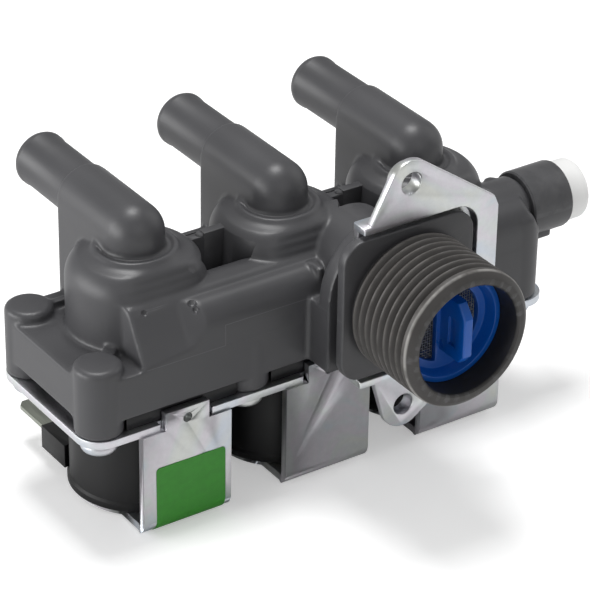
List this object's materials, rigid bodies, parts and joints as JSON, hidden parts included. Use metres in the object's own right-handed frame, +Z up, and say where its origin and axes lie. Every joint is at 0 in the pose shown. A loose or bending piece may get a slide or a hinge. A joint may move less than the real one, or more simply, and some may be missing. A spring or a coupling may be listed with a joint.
{
  "type": "inlet solenoid valve",
  "caption": "Water inlet valve of a washing machine with threaded inlet, strainer, bracket, hose outlets in a row and a solenoid coil under each outlet.",
  "frame": {"origin": "centre of the inlet's mouth, on the axis of its thread; the thread's crests start 1.0 mm behind it, and the thread mount states the point 0.7 mm behind it", "axes": "+Y from the mouth into the valve, towards the hose outlets; +X along the row of valves towards the plugged side port; +Z up, with the coils below"},
  "size_m": [0.1119, 0.0791, 0.0667],
  "materials": {
    "body": "moulded, satin",
    "filter": "moulded, glossy",
    "mesh": "woven stainless wire",
    "rubber": "moulded, matte",
    "plug": "moulded, satin",
    "zinc": "zinc plated sheet",
    "label": "printed film, bare",
    "coil": "moulded, glossy",
    "blade": "tinned",
    "copper": "enamelled copper wire",
    "bobbin": "moulded nylon",
    "bonnet": "moulded, glossy",
    "insert": "moulded",
    "plunger": "ground stainless steel",
    "steel": "plain steel",
    "screw": "zinc plated"
  },
  "bodies": {
    "valve": {"valve_body": "body", "inlet_filter_frame": "filter", "inlet_filter_mesh": "mesh", "flow_washer": "rubber", "side_port_plug": "plug", "mounting_bracket": "zinc", "coil_plate": "zinc", "rating_label": "label", "plate_screws": "screw", "yoke_1": "zinc", "coil_case_1": "coil", "coil_bobbin_1": "bobbin", "coil_winding_1": "copper", "flux_sleeve_1": "steel", "coil_terminals_1": "blade", "bonnet_1": "bonnet", "diaphragm_1": "rubber", "plunger_spring_1": "steel", "yoke_2": "zinc", "coil_case_2": "coil", "coil_bobbin_2": "bobbin", "coil_winding_2": "copper", "flux_sleeve_2": "steel", "coil_terminals_2": "blade", "bonnet_2": "bonnet", "diaphragm_2": "rubber", "plunger_spring_2": "steel", "yoke_3": "zinc", "coil_case_3": "coil", "coil_bobbin_3": "bobbin", "coil_winding_3": "copper", "flux_sleeve_3": "steel", "coil_terminals_3": "blade", "bonnet_3": "bonnet", "diaphragm_3": "rubber", "plunger_spring_3": "steel"},
    "plunger_set_1": {"plunger_1": "plunger", "plunger_tip_1": "rubber"},
    "insert_set_1": {"diaphragm_insert_1": "insert"},
    "plunger_set_2": {"plunger_2": "plunger", "plunger_tip_2": "rubber"},
    "insert_set_2": {"diaphragm_insert_2": "insert"},
    "plunger_set_3": {"plunger_3": "plunger", "plunger_tip_3": "rubber"},
    "insert_set_3": {"diaphragm_insert_3": "insert"}
  },
  "joints": [
    {"name": "plunger_1_lift", "type": "slide", "parent": "valve", "child": "plunger_set_1", "axis": [0, 0, -1], "range_m": [0, 0.0024], "stiffness_N_per_m": 150, "springref_m": -0.006, "deforming": ["plunger_spring_1"]},
    {"name": "diaphragm_1_lift", "type": "slide", "parent": "valve", "child": "insert_set_1", "axis": [0, 0, -1], "range_m": [0, 0.00165], "deforming": ["diaphragm_1"]},
    {"name": "plunger_2_lift", "type": "slide", "parent": "valve", "child": "plunger_set_2", "axis": [0, 0, -1], "range_m": [0, 0.0024], "stiffness_N_per_m": 150, "springref_m": -0.006, "deforming": ["plunger_spring_2"]},
    {"name": "diaphragm_2_lift", "type": "slide", "parent": "valve", "child": "insert_set_2", "axis": [0, 0, -1], "range_m": [0, 0.00165], "deforming": ["diaphragm_2"]},
    {"name": "plunger_3_lift", "type": "slide", "parent": "valve", "child": "plunger_set_3", "axis": [0, 0, -1], "range_m": [0, 0.0024], "stiffness_N_per_m": 150, "springref_m": -0.006, "deforming": ["plunger_spring_3"]},
    {"name": "diaphragm_3_lift", "type": "slide", "parent": "valve", "child": "insert_set_3", "axis": [0, 0, -1], "range_m": [0, 0.00165], "deforming": ["diaphragm_3"]}
  ],
  "couplings": [
    {"joint": "diaphragm_1_lift", "follows": "plunger_1_lift", "ratio": 0.6667},
    {"joint": "diaphragm_2_lift", "follows": "plunger_2_lift", "ratio": 0.6667},
    {"joint": "diaphragm_3_lift", "follows": "plunger_3_lift", "ratio": 0.6667}
  ]
}
